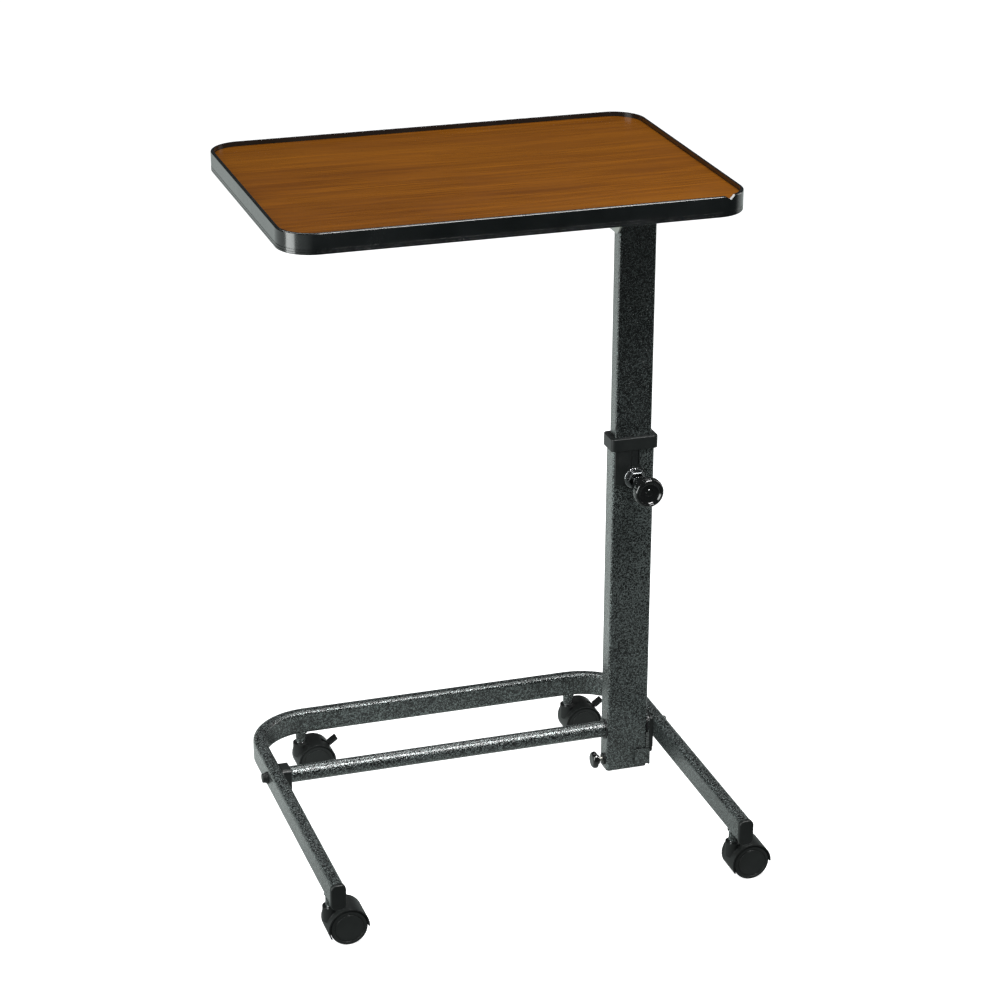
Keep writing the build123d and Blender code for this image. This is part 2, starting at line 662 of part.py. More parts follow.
# spring held between the housing and the pin's collar
SPRING_L = 15.0
with BuildPart() as plunger_spring:
    with BuildLine():
        coil = Helix(pitch=SPRING_L / 6, height=SPRING_L, radius=4.6,
                     center=(MAST_L + 8.5, CY, PIN_Z), direction=(1, 0, 0))
    with BuildSketch(Plane(coil @ 0, z_dir=coil % 0)):
        Circle(0.5)
    sweep()
save(plunger_spring.part, "plunger_spring")

# ============================ base ============================

LEG_X = BASE_HALF_W - LEG_W / 2

with BuildPart() as base_frame:
    with BuildLine() as path:
        Line((BX - LEG_X, LEG_END_Y, LEG_Z + LEG_H / 2), (BX - LEG_X, RAIL_Y - BEND_R, LEG_Z + LEG_H / 2))
        ThreePointArc((BX - LEG_X, RAIL_Y - BEND_R, LEG_Z + LEG_H / 2),
                      (BX - LEG_X + BEND_R * (1 - math.sqrt(0.5)), RAIL_Y - BEND_R * (1 - math.sqrt(0.5)),
                       LEG_Z + LEG_H / 2),
                      (BX - LEG_X + BEND_R, RAIL_Y, LEG_Z + LEG_H / 2))
        Line((BX - LEG_X + BEND_R, RAIL_Y, LEG_Z + LEG_H / 2),
             (BX + LEG_X - BEND_R, RAIL_Y, LEG_Z + LEG_H / 2))
        ThreePointArc((BX + LEG_X - BEND_R, RAIL_Y, LEG_Z + LEG_H / 2),
                      (BX + LEG_X - BEND_R * (1 - math.sqrt(0.5)), RAIL_Y - BEND_R * (1 - math.sqrt(0.5)),
                       LEG_Z + LEG_H / 2),
                      (BX + LEG_X, RAIL_Y - BEND_R, LEG_Z + LEG_H / 2))
        Line((BX + LEG_X, RAIL_Y - BEND_R, LEG_Z + LEG_H / 2), (BX + LEG_X, LEG_END_Y, LEG_Z + LEG_H / 2))
    with BuildSketch(Plane(origin=(BX - LEG_X, LEG_END_Y, LEG_Z + LEG_H / 2), x_dir=(1, 0, 0),
                           z_dir=(0, 1, 0))):
        RectangleRounded(LEG_W, LEG_H, LEG_R)
        RectangleRounded(LEG_W - 2 * LEG_T, LEG_H - 2 * LEG_T, LEG_R - LEG_T, mode=Mode.SUBTRACT)
    sweep(path=path.line)
    # screws of the crossbar through both legs
    with BuildSketch(face_x(BX - 300)):
        with Locations((CY, BAR_Z)):
            Circle(3.0)
    extrude(amount=600, mode=Mode.SUBTRACT)
    # caster stems through the lower wall
    with BuildSketch(Plane.XY.offset(LEG_Z - 1)):
        with Locations((BX - LEG_X, STEM_FRONT_Y), (BX + LEG_X, STEM_FRONT_Y),
                       (BX - STEM_REAR_X, STEM_REAR_Y), (BX + STEM_REAR_X, STEM_REAR_Y)):
            Circle(5.5)
    extrude(amount=12, mode=Mode.SUBTRACT)
save(base_frame.part, "base_frame")

for side, name in ((-1, "left_leg_cap"), (1, "right_leg_cap")):
    with BuildPart() as leg_cap:
        cap_plane = Plane(origin=(BX + side * LEG_X, LEG_END_Y, LEG_Z + LEG_H / 2), x_dir=(1, 0, 0),
                          z_dir=(0, -1, 0))
        with BuildSketch(cap_plane):
            RectangleRounded(CAP_W, CAP_H, CAP_R)
        extrude(amount=CAP_T)
        fillet(leg_cap.faces().sort_by(Axis.Y)[0].edges(), 2.0)
        with BuildSketch(cap_plane):
            RectangleRounded(LEG_W - 2 * LEG_T, LEG_H - 2 * LEG_T, LEG_R - LEG_T)
            RectangleRounded(LEG_W - 2 * LEG_T - 4, LEG_H - 2 * LEG_T - 4, 1.5, mode=Mode.SUBTRACT)
        extrude(amount=-8)
    save(leg_cap.part, name)

STEMS = {
    "front_left": (BX - LEG_X, STEM_FRONT_Y),
    "front_right": (BX + LEG_X, STEM_FRONT_Y),
    "rear_left": (BX - STEM_REAR_X, STEM_REAR_Y),
    "rear_right": (BX + STEM_REAR_X, STEM_REAR_Y),
}

with BuildPart() as caster_sockets:
    for sx, sy in STEMS.values():
        with BuildSketch(Plane.XY.offset(POCKET_Z + 2.1)):
            with Locations((sx, sy)):
                Circle(SOCKET_D / 2)
        extrude(amount=LEG_Z - POCKET_Z - 2.1)
    with BuildSketch(Plane.XY.offset(POCKET_Z)):
        for sx, sy in STEMS.values():
            with Locations((sx, sy)):
                Circle(5.5)
    extrude(amount=20, mode=Mode.SUBTRACT)
save(caster_sockets.part, "caster_sockets")

# ============================ casters ============================

LEVER_A = math.radians(40)      # direction of the brake lever above the horizontal
LEVER_R = 20.0                  # its hinge, from the wheel centre


def caster(name, sx, sy, brake):
    wx = sx + TRAIL
    with BuildPart() as stem:
        with BuildSketch(Plane.XY.offset(POCKET_Z + 0.1)):
            with Locations((sx, sy)):
                Circle(RING_D / 2)
        extrude(amount=2.0)
        fillet(stem.faces().sort_by(Axis.Z)[0].edges(), 0.5)
        with BuildSketch(Plane.XY.offset(POCKET_Z + 2.1)):
            with Locations((sx, sy)):
                Circle(5.5)
        extrude(amount=33)
        chamfer(stem.faces().sort_by(Axis.Z)[-1].edges(), 1.0)
        with BuildSketch(Plane.XY.offset(24)):
            with Locations((sx, sy)):
                Circle(4.0)
        extrude(amount=POCKET_Z + 0.1 - 24)
    save(stem.part, name + "_stem")

    with BuildPart() as hood:
        # shell over both wheels
        with BuildSketch(face_y(sy + 20.5)):
            with Locations((wx, WHEEL_R)):
                Circle(HOOD_R)
        extrude(amount=41)
        with BuildSketch(face_y(sy + 20.5)):
            with Locations((wx, WHEEL_R)):
                Circle(HOOD_R - 1.9)
        extrude(amount=41, mode=Mode.SUBTRACT)
        # web between the wheels
        with BuildSketch(face_y(sy + WEB / 2)):
            with Locations((wx, WHEEL_R)):
                Circle(HOOD_R - 1)
        extrude(amount=WEB)
        # open below: the leading side reaches lower than the trailing side
        with BuildSketch(face_y(sy + 30)):
            with BuildLine():
                Polyline((wx - 40, WHEEL_R - 15), (wx - 20, WHEEL_R - 12), (wx - 8, WHEEL_R - 8),
                         (wx + 8, WHEEL_R - 8), (wx + 12, WHEEL_R - 1), (wx + 40, WHEEL_R - 1),
                         (wx + 40, -20), (wx - 40, -20), close=True)
            make_face()
        extrude(amount=60, mode=Mode.SUBTRACT)
        # pocket round the stem
        with BuildSketch(Plane.XY.offset(POCKET_Z)):
            with Locations((sx, sy)):
                Circle(11.5)
        extrude(amount=20, mode=Mode.SUBTRACT)
        with BuildSketch(Plane.XY.offset(WHEEL_R + 6)):
            with Locations((sx, sy)):
                Circle(11.5)
        extrude(amount=POCKET_Z - WHEEL_R - 6)
        # bore of the stem and hole of the axle
        with BuildSketch(Plane.XY.offset(23)):
            with Locations((sx, sy)):
                Circle(4.0 + FIT)
        extrude(amount=40, mode=Mode.SUBTRACT)
        with BuildSketch(face_y(sy + 30)):
            with Locations((wx, WHEEL_R)):
                Circle(3.0)
        extrude(amount=60, mode=Mode.SUBTRACT)
        # the wheels' room stays clear of the stem housing
        for y0 in (sy + 20.5, sy - WEB / 2 - 0.1):
            with BuildSketch(face_y(y0)):
                with Locations((wx, WHEEL_R)):
                    Circle(HOOD_R - 1.95)
            extrude(amount=20.5 - WEB / 2 - 0.1, mode=Mode.SUBTRACT)
        if brake:
            # slot for the brake lever
            with BuildSketch(face_y(sy + 4.2)):
                with BuildLine():
                    Polyline((wx + 10, WHEEL_R + 3), (wx + 40, WHEEL_R + 3), (wx + 40, WHEEL_R + 33),
                             (wx + 14, WHEEL_R + 33), (wx + 6, WHEEL_R + 16), close=True)
                make_face()
            extrude(amount=8.4, mode=Mode.SUBTRACT)
            # its pin crosses the web
            with BuildSketch(face_y(sy + 5)):
                with Locations((wx + LEVER_R * math.cos(LEVER_A), WHEEL_R + LEVER_R * math.sin(LEVER_A))):
                    Circle(1.5)
            extrude(amount=10)
    save(hood.part, name + "_hood")

    with BuildPart() as axle:
        with BuildSketch(face_y(sy + 17)):
            with Locations((wx, WHEEL_R)):
                Circle(3.0)
        extrude(amount=34)
        chamfer(axle.edges().filter_by(GeomType.CIRCLE), 0.5)
    save(axle.part, name + "_axle")

    for side, wheel_name in ((-1, "_outer_wheel"), (1, "_inner_wheel")):
        y_in = sy + side * (WEB / 2 + 0.8)
        with BuildPart() as wheel:
            y_out = y_in + side * WHEEL_W
            with BuildSketch(Plane.XY.offset(WHEEL_R)):
                with BuildLine():
                    Polyline((wx + 3.0 + FIT, y_in), (wx + 7.5, y_in), (wx + 7.5, y_in + side * 8),
                             (wx + 19.0, y_in + side * 8), (wx + 19.0, y_in + side * 1.5),
                             (wx + WHEEL_R, y_in + side * 1.5), (wx + WHEEL_R, y_out),
                             (wx + 20.4, y_out), (wx + 20.0, y_out - side * 0.8),
                             (wx + 18.6, y_out - side * 0.8), (wx + 18.2, y_out - side * 0.1),
                             (wx, y_out - side * 0.1), (wx, y_out - side * 1.9),
                             (wx + 3.0 + FIT, y_out - side * 1.9), close=True)
                make_face()
            revolve(axis=Axis((wx, sy, WHEEL_R), (0, 1, 0)))
            rim_edges = wheel.edges().filter_by(GeomType.CIRCLE).filter_by(
                lambda e: abs(e.radius - WHEEL_R) < 0.01)
            fillet(rim_edges, 2.2)
        save(wheel.part, name + wheel_name)

    if brake:
        lx = wx + LEVER_R * math.cos(LEVER_A)
        lz = WHEEL_R + LEVER_R * math.sin(LEVER_A)
        with BuildPart() as lever:
            arm = Plane(origin=(lx, sy + 3.9, lz), x_dir=(math.cos(LEVER_A), 0, math.sin(LEVER_A)),
                        z_dir=(0, -1, 0))
            with BuildSketch(arm):
                with BuildLine():
                    Polyline((-3.2, -2.6), (6.0, -2.6), (9.0, -1.2), (9.0, 2.4), (-1.0, 2.8), (-3.2, 1.5),
                             close=True)
                make_face()
            extrude(amount=7.8)
            tab = Plane(origin=(lx, sy + 7, lz), x_dir=(math.cos(LEVER_A), 0, math.sin(LEVER_A)),
                        z_dir=(0, -1, 0))
            with BuildSketch(tab):
                with BuildLine():
                    Polyline((8.6, -1.2), (23.0, -2.0), (23.0, 1.0), (8.6, 2.2), close=True)
                make_face()
            extrude(amount=14)
            fillet(lever.edges().filter_by(Axis.Y).sort_by(Axis.X)[-2:], 0.8)
            with BuildSketch(tab):
                Circle(1.5 + FIT)
            extrude(amount=14, mode=Mode.SUBTRACT)
        save(lever.part, name + "_brake_lever")


for caster_name, (stem_x, stem_y) in STEMS.items():
    caster(caster_name + "_caster", stem_x, stem_y, caster_name.startswith("rear"))
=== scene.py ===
import json
import math
import random

import bmesh
import bpy
from mathutils import Matrix, Vector


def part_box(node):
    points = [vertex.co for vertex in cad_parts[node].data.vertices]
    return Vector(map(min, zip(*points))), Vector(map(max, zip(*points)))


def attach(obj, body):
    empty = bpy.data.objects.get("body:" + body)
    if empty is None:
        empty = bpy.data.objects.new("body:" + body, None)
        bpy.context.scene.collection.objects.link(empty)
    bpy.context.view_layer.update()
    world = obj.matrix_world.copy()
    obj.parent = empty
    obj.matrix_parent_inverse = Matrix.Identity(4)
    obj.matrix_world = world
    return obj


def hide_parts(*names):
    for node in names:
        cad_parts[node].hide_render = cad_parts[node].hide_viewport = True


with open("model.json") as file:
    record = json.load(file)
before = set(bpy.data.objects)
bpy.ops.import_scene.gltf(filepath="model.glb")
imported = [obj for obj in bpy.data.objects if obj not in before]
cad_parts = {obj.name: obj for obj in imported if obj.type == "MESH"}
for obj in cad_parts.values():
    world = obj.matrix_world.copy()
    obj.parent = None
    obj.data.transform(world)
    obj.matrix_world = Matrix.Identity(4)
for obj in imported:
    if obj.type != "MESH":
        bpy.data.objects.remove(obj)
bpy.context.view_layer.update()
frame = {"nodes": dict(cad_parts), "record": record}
NODES = frame["nodes"]
MM = 0.001


def add_object(name, data):
    obj = bpy.data.objects.new(name, data)
    bpy.context.scene.collection.objects.link(obj)
    return obj


# ---------------------------------------------------------------- materials

class Look:
    """One procedural material. Lengths inside it are metres in the object's own frame."""

    def __init__(self, name):
        self.mat = bpy.data.materials.new(name)
        self.mat.use_nodes = True
        self.tree = self.mat.node_tree
        self.tree.nodes.clear()
        self.out = self.add("ShaderNodeOutputMaterial")
        self.bsdf = self.add("ShaderNodeBsdfPrincipled")
        self.tree.links.new(self.bsdf.outputs[0], self.out.inputs[0])
        self.coord = self.add("ShaderNodeTexCoord").outputs["Object"]

    def add(self, kind, **props):
        node = self.tree.nodes.new(kind)
        for key, value in props.items():
            setattr(node, key, value)
        return node

    def put(self, socket, value):
        if isinstance(value, bpy.types.NodeSocket):
            self.tree.links.new(value, socket)
        elif isinstance(value, (tuple, list)) and len(value) == 3 and socket.type == "RGBA":
            socket.default_value = (*value, 1.0)
        else:
            socket.default_value = value

    def set(self, **values):
        for key, value in values.items():
            self.put(self.bsdf.inputs[key.replace("_", " ")], value)

    def math(self, op, a, b=0.0):
        node = self.add("ShaderNodeMath", operation=op)
        self.put(node.inputs[0], a)
        self.put(node.inputs[1], b)
        return node.outputs[0]

    def span(self, value, lo, hi, out_lo=0.0, out_hi=1.0):
        node = self.add("ShaderNodeMapRange", clamp=True)
        for i, v in enumerate((value, lo, hi, out_lo, out_hi)):
            self.put(node.inputs[i], v)
        return node.outputs[0]

    def mix(self, fac, a, b):
        node = self.add("ShaderNodeMix", data_type="RGBA")
        self.put(node.inputs[0], fac)
        self.put(node.inputs[6], a)
        self.put(node.inputs[7], b)
        return node.outputs[2]

    def mix_value(self, fac, a, b):
        node = self.add("ShaderNodeMix", data_type="FLOAT")
        self.put(node.inputs[0], fac)
        self.put(node.inputs[2], a)
        self.put(node.inputs[3], b)
        return node.outputs[0]

    def stretch(self, scale, vector=None):
        """Coordinates scaled per axis, so that a unit noise on them streaks along the smallest scale."""
        node = self.add("ShaderNodeMapping")
        self.put(node.inputs["Vector"], vector or self.coord)
        node.inputs["Scale"].default_value = scale
        return node.outputs[0]

    def noise(self, scale, detail=2.0, rough=0.5, distort=0.0, vector=None, colour=False):
        node = self.add("ShaderNodeTexNoise")
        self.put(node.inputs["Vector"], vector or self.coord)
        node.inputs["Scale"].default_value = scale
        node.inputs["Detail"].default_value = detail
        node.inputs["Roughness"].default_value = rough
        node.inputs["Distortion"].default_value = distort
        return node.outputs["Color" if colour else "Fac"]

    def flakes(self, scale, vector):
        """A random shade per cell."""
        node = self.add("ShaderNodeTexVoronoi", feature="F1")
        self.put(node.inputs["Vector"], vector)
        node.inputs["Scale"].default_value = scale
        return node.outputs["Color"]

    def edge(self, radius, low=0.02, high=0.25):
        """1 along the object's sharp edges, 0 on its faces."""
        bevel = self.add("ShaderNodeBevel", samples=4)
        bevel.inputs["Radius"].default_value = radius
        dot = self.add("ShaderNodeVectorMath", operation="DOT_PRODUCT")
        self.put(dot.inputs[0], bevel.outputs[0])
        self.put(dot.inputs[1], self.add("ShaderNodeNewGeometry").outputs["Normal"])
        return self.span(self.math("SUBTRACT", 1.0, dot.outputs["Value"]), low, high)

    def relief(self, height, strength, distance):
        node = self.add("ShaderNodeBump")
        node.inputs["Strength"].default_value = strength
        node.inputs["Distance"].default_value = distance
        self.put(node.inputs["Height"], height)
        return node.outputs[0]

    def bump(self, height, strength, distance, soften=0.0005):
        """Relief on top of edges that are rounded off by the given radius."""
        over = self.relief(height, strength, distance)
        rounded = self.add("ShaderNodeBevel", samples=3)
        rounded.inputs["Radius"].default_value = soften
        self.put(over.node.inputs["Normal"], rounded.outputs[0])
        return over


def hammered(name, dark, light, cell, shade_cover_cut=0.0):
    """Vein paint: silver-grey blotches that pull apart over gloss black, dimpled like the real coat."""
    look = Look(name)
    blots = look.noise(1.0 / cell, 1.5, 0.55, 0.9)
    fine = look.noise(2.3 / cell, 1.0, 0.5, 0.4)
    patch = look.noise(0.05 / cell, 3.0, 0.6)
    depth = look.math("ADD", blots, look.math("MULTIPLY", look.math("SUBTRACT", fine, 0.5), 0.45))
    # A positive cover cut thins the silver blotches, so the paint reads darker: painted shade, given for the
    # inner mast.
    edge_of_blot = look.span(patch, 0.3, 0.7, 0.510 + shade_cover_cut, 0.560 + shade_cover_cut)
    cover = look.span(depth, look.math("SUBTRACT", edge_of_blot, 0.03),
                      look.math("ADD", edge_of_blot, 0.10))
    tone = look.span(fine, 0.35, 0.65, 0.62, 1.0)
    base = look.mix(look.math("MULTIPLY", cover, tone), dark, light)
    worn = look.math("MULTIPLY", look.edge(0.0008, 0.05, 0.4),
                     look.span(look.noise(90.0, 4.0, 0.7), 0.54, 0.66))
    base = look.mix(look.math("MULTIPLY", worn, 0.35), base, (0.30, 0.31, 0.31))
    height = look.span(depth, 0.36, 0.64)
    look.set(Base_Color=base, Metallic=look.math("MULTIPLY", cover, 0.85),
             Roughness=look.mix_value(cover, 0.17, look.span(patch, 0.3, 0.7, 0.26, 0.34)),
             Specular_IOR_Level=0.42, Coat_Weight=1.0, Coat_Roughness=0.05,
             Normal=look.bump(height, 0.9, 0.00030),
             Coat_Normal=look.relief(height, 0.45, 0.00030))
    return look.mat


def wood_laminate():
    """Satin cherry print: long streaks and short pores along X, with slow colour drift."""
    look = Look("cherry_laminate")
    drift = look.noise(1.0, 3.0, 0.55, 0.4, look.stretch((2.2, 9.0, 1.0)))
    wavy = look.noise(1.0, 2.0, 0.5, 0.0, look.stretch((1.6, 3.0, 1.0)), colour=True)
    bend = look.add("ShaderNodeVectorMath", operation="MULTIPLY_ADD")
    look.put(bend.inputs[0], wavy)
    bend.inputs[1].default_value = (0.0, 0.05, 0.0)
    look.put(bend.inputs[2], look.coord)
    path = bend.outputs[0]
    rings = look.noise(1.0, 6.0, 0.62, 0.25, look.stretch((2.5, 55.0, 1.0), vector=path))
    streak = look.noise(1.0, 5.0, 0.7, 0.1, look.stretch((7.0, 260.0, 1.0), vector=path))
    pores = look.noise(1.0, 2.0, 0.5, 0.0, look.stretch((90.0, 2300.0, 1.0), vector=path))
    where = look.span(look.noise(1.0, 3.0, 0.5, 0.0, look.stretch((4.0, 40.0, 1.0))), 0.42, 0.62)
    base = look.mix(look.span(rings, 0.30, 0.70), (0.082, 0.0245, 0.0008), (0.154, 0.0500, 0.0018))
    base = look.mix(look.math("MULTIPLY", look.span(streak, 0.42, 0.60), 0.75), base,
                    (0.058, 0.0162, 0.0006))
    base = look.mix(look.span(drift, 0.35, 0.7, 0.0, 0.35), base, (0.171, 0.0590, 0.0022))
    grain = look.math("MULTIPLY", look.span(pores, 0.56, 0.72), look.mix_value(where, 0.15, 0.60))
    base = look.mix(grain, base, (0.040, 0.012, 0.0008))
    smear = look.span(look.noise(9.0, 5.0, 0.6, 0.5), 0.40, 0.68, 0.0, 0.05)
    look.set(Base_Color=base, Roughness=look.math("ADD", look.mix_value(grain, 0.26, 0.40), smear),
             Specular_IOR_Level=0.12,
             Normal=look.bump(look.math("SUBTRACT", look.math("MULTIPLY", streak, 0.3), grain),
                              0.10, 0.00012))
    return look.mat


def moulded(name, colour, rough, texture=2600.0, relief=0.08, level=0.5, wear=0.25, coat=0.0,
            lines=None, tint=(0.16, 0.16, 0.165)):
    """Moulded plastic: fine spark texture, slow gloss change, rubbed edges, and mould lines if given."""
    look = Look(name)
    slow = look.noise(18.0, 4.0, 0.6)
    fine = look.noise(texture, 2.0, 0.6)
    shade = look.mix(look.span(slow, 0.35, 0.7), colour, tuple(c * 1.5 + 0.002 for c in colour))
    rub = look.math("MULTIPLY", look.edge(0.0008, 0.04, 0.35),
                    look.span(look.noise(120.0, 4.0, 0.65), 0.42, 0.62))
    shade = look.mix(look.math("MULTIPLY", rub, wear), shade, tint)
    height = fine
    if lines is not None:
        stripes = look.noise(1.0, 3.0, 0.6, 0.0, look.stretch(lines))
        height = look.math("ADD", look.math("MULTIPLY", fine, 0.4), stripes)
    look.set(Base_Color=shade, Specular_IOR_Level=level, Coat_Weight=coat, Coat_Roughness=0.08,
             Roughness=look.math("ADD", look.span(slow, 0.3, 0.7, rough - 0.05, rough + 0.06),
                                 look.math("MULTIPLY", rub, -0.08)),
             Normal=look.bump(height, relief, 0.00012))
    return look.mat


def plated(name, colour, rough, tint):
    """Plated steel: slight colour drift of the plating, fine scratches, darker pitting, and a painted
    highlight along the edges.
    """
    look = Look(name)
    slow = look.noise(60.0, 4.0, 0.6)
    scratch = look.noise(1.0, 3.0, 0.7, 0.0, look.stretch((400.0, 400.0, 3000.0)))
    pits = look.span(look.noise(1500.0, 3.0, 0.6), 0.66, 0.74)
    base = look.mix(look.span(slow, 0.35, 0.68), colour, tint)
    base = look.mix(look.math("MULTIPLY", pits, 0.5), base, tuple(c * 0.35 for c in colour))
    # Near white along the edges: painted highlight, thin glints on the plated rims.
    edge = look.edge(0.0006, 0.05, 0.4)
    base = look.mix(look.math("MULTIPLY", edge, 0.3), base, (0.92, 0.92, 0.90))
    look.set(Base_Color=base, Metallic=1.0,
             Roughness=look.math("ADD", look.span(slow, 0.3, 0.7, rough, rough + 0.12),
                                 look.math("MULTIPLY", pits, 0.25)),
             Normal=look.bump(scratch, 0.06, 0.0001))
    return look.mat


def nylon(name, colour):
    """Natural nylon: slightly translucent, with grime along its edges."""
    look = Look(name)
    slow = look.noise(40.0, 4.0, 0.6)
    base = look.mix(look.span(slow, 0.3, 0.7), colour, tuple(c * 0.86 for c in colour))
    dirt = look.math("MULTIPLY", look.edge(0.0008, 0.05, 0.4), look.span(slow, 0.45, 0.6))
    base = look.mix(look.math("MULTIPLY", dirt, 0.5), base, (0.30, 0.28, 0.25))
    look.set(Base_Color=base, Roughness=look.span(slow, 0.3, 0.7, 0.38, 0.52),
             Subsurface_Weight=0.15, Subsurface_Radius=(0.002, 0.002, 0.0018),
             Normal=look.bump(look.noise(1800.0, 2.0), 0.08, 0.0001))
    return look.mat


def backing_board(name, colour, fleck, scale, rough):
    """Backing sheet or raw board: pressed fibres and flakes."""
    look = Look(name)
    flakes = look.flakes(scale, look.stretch((1.0, 0.55, 1.0)))
    fibre = look.noise(scale * 6, 4.0, 0.7)
    base = look.mix(look.math("MULTIPLY", flakes, 0.55), colour, fleck)
    base = look.mix(look.span(fibre, 0.5, 0.7, 0.0, 0.5), base, tuple(c * 0.6 for c in colour))
    look.set(Base_Color=base, Roughness=rough,
             Normal=look.bump(fibre, 0.25, 0.0002))
    return look.mat


HAMMER = hammered("hammered_vein_paint", (0.0035, 0.0045, 0.0045), (0.300, 0.348, 0.341), 0.0022)
# The inner mast's copy of the paint is darker and less covered: painted shade from the table top above it.
# Its finer cells are real.
SHADED_INNER_HAMMER = hammered("hammered_vein_paint_inner_painted_shade", (0.0030, 0.0040, 0.0040), (0.240, 0.282, 0.277), 0.0019,
                        0.035)
WOOD = wood_laminate()
BAND = moulded("band_gloss_black", (0.0022, 0.0030, 0.0032), 0.22, 1400.0, 0.05, 0.5,
               lines=(3.0, 3.0, 900.0), wear=0.06, coat=0.4)
SATIN = moulded("satin_black_plastic", (0.0060, 0.0075, 0.0073), 0.38, 2600.0, 0.12)
GLOSS = moulded("gloss_black_plastic", (0.0030, 0.0034, 0.0034), 0.14, 1500.0, 0.03, 0.5, coat=0.6,
                wear=0.12)
CASTER = moulded("caster_black_nylon", (0.0075, 0.0088, 0.0085), 0.40, 2200.0, 0.20, 0.45)
WHEEL = moulded("wheel_black_nylon", (0.0095, 0.0112, 0.0108), 0.36, 1600.0, 0.16, 0.45,
                tint=(0.10, 0.10, 0.098), wear=0.3)
# Near-black plating on the clamp nut: painted dark reflection, standing in for the dark room that bright
# plating would mirror.
NUT_PLATE_PAINTED_DARK = plated("nut_plate_painted_dark_reflection", (0.045, 0.048, 0.050), 0.14, (0.075, 0.078, 0.080))
ZINC = plated("zinc_plate", (0.50, 0.51, 0.52), 0.32, (0.56, 0.55, 0.49))
CHROME = plated("bright_plate", (0.74, 0.75, 0.76), 0.12, (0.66, 0.66, 0.68))
SPRING = plated("spring_steel", (0.34, 0.34, 0.35), 0.30, (0.40, 0.38, 0.36))
NYLON = nylon("natural_nylon", (0.68, 0.67, 0.61))
BUSH = moulded("bush_black_nylon", (0.012, 0.012, 0.013), 0.36, 1800.0, 0.08)
BACKER = backing_board("backing_sheet", (0.030, 0.028, 0.027), (0.050, 0.046, 0.043), 260.0, 0.62)
BOARD = backing_board("particle_board", (0.42, 0.30, 0.17), (0.55, 0.43, 0.27), 420.0, 0.85)

SLOTS = {
    "laminate_face": WOOD, "board": BOARD, "backer": BACKER, "band_black": BAND, "zinc": ZINC,
    "nylon": NYLON, "hammered": HAMMER, "black_plastic": SATIN, "gloss_black": GLOSS,
    "plated": CHROME, "caster_black": CASTER, "wheel_black": WHEEL,
}
SPECIAL = {"plunger_spring": SPRING, "pivot_bushes": BUSH, "clamp_nut": NUT_PLATE_PAINTED_DARK, "clamp_screw": CHROME,
           "inner_mast": SHADED_INNER_HAMMER}


# ---------------------------------------------------------------- CAD nodes

for row in frame["record"]["subparts"]:
    node = NODES[row["node"]]
    look = SPECIAL.get(row["node"], SLOTS[row["material_slot"]])
    node.data.materials.clear()
    node.data.materials.append(look)


# ---------------------------------------------------------------- modelled pieces

def bridge(mesh, here, there):
    """Faces between two rings. A ring of one vertex is a tip."""
    count = max(len(here), len(there))
    for i in range(count):
        j = (i + 1) % count
        corners = (here[i % len(here)], here[j % len(here)], there[j % len(there)], there[i % len(there)])
        mesh.faces.new(list(dict.fromkeys(corners))).smooth = True


def piece(mesh, name, look, body, replaced=None):
    """Make an object of a bmesh. It rides on a body and, if a CAD node is given, stands for it."""
    data = bpy.data.meshes.new(name)
    mesh.to_mesh(data)
    mesh.free()
    data.materials.append(look)
    obj = add_object(name, data)
    if replaced:
        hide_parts(replaced)
    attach(obj, body)


# ---------------------------------------------------------------- clamp knob and its washer

TURNED_STEPS = 192
SHARP_ANGLE = math.radians(42)
FLUTES, FLUTE_DEPTH = 16, 0.45          # lengths of these two pieces are in mm
FLUTED_RADIUS = 19.5                    # flutes reach in from the rim to here
TEETH, TOOTH_DEPTH = 32, 0.55
TOOTHED_RADIUS = 12.0

# (radius, depth from the back)
KNOB_PROFILE = [
    # hollow for the screw, then the pocket round its flange
    (0, 10.0), (4.6, 10.0), (5.0, 9.6), (5.0, 0.6), (5.4, 0.2), (10.9, 0.2), (10.9, -2.4), (5.9, -2.6),
    # neck
    (5.4, -3.2), (5.4, -12.8), (6.0, -13.4), (9.6, -13.4), (10.4, -13.1), (10.8, -12.4), (11.4, -9.0),
    # bell and rim
    (12.2, -4.0), (13.0, 1.0), (14.2, 5.5), (15.9, 9.0), (18.4, 11.6), (19.9, 13.2), (20.7, 15.0),
    (21.0, 17.0), (21.1, 20.0), (20.9, 22.6), (20.4, 24.4), (19.6, 25.8), (18.5, 26.7), (17.4, 27.2),
    # dish and centre button
    (16.6, 27.3), (16.0, 27.1), (15.6, 26.6), (14.9, 25.3), (14.0, 24.2), (13.0, 23.6), (11.6, 23.3),
    (6.2, 23.2), (5.6, 23.4), (5.2, 23.9), (4.8, 24.3), (3.8, 24.6), (0, 24.8),
]
WASHER_PROFILE = [
    (5.1, 0.0), (14.2, 0.0), (14.7, 0.2), (14.9, 0.5), (14.9, 1.0), (14.9, 1.4), (14.6, 1.8), (14.1, 2.0),
    (10.2, 2.0), (5.5, 2.0), (5.1, 1.6),
]


def knob_flutes(radius, depth, angle):
    """Shallow finger flutes, only on the outside of the rim."""
    if radius < FLUTED_RADIUS or not 14.0 < depth < 25.5:
        return radius
    return radius - FLUTE_DEPTH * max(0.0, math.cos(FLUTES * angle)) ** 3


def washer_teeth(radius, depth, angle):
    """Serrated edge, like a lock washer."""
    if radius < TOOTHED_RADIUS or not 0.3 < depth < 1.7:
        return radius
    return radius - TOOTH_DEPTH * (0.5 + 0.5 * math.cos(TEETH * angle))


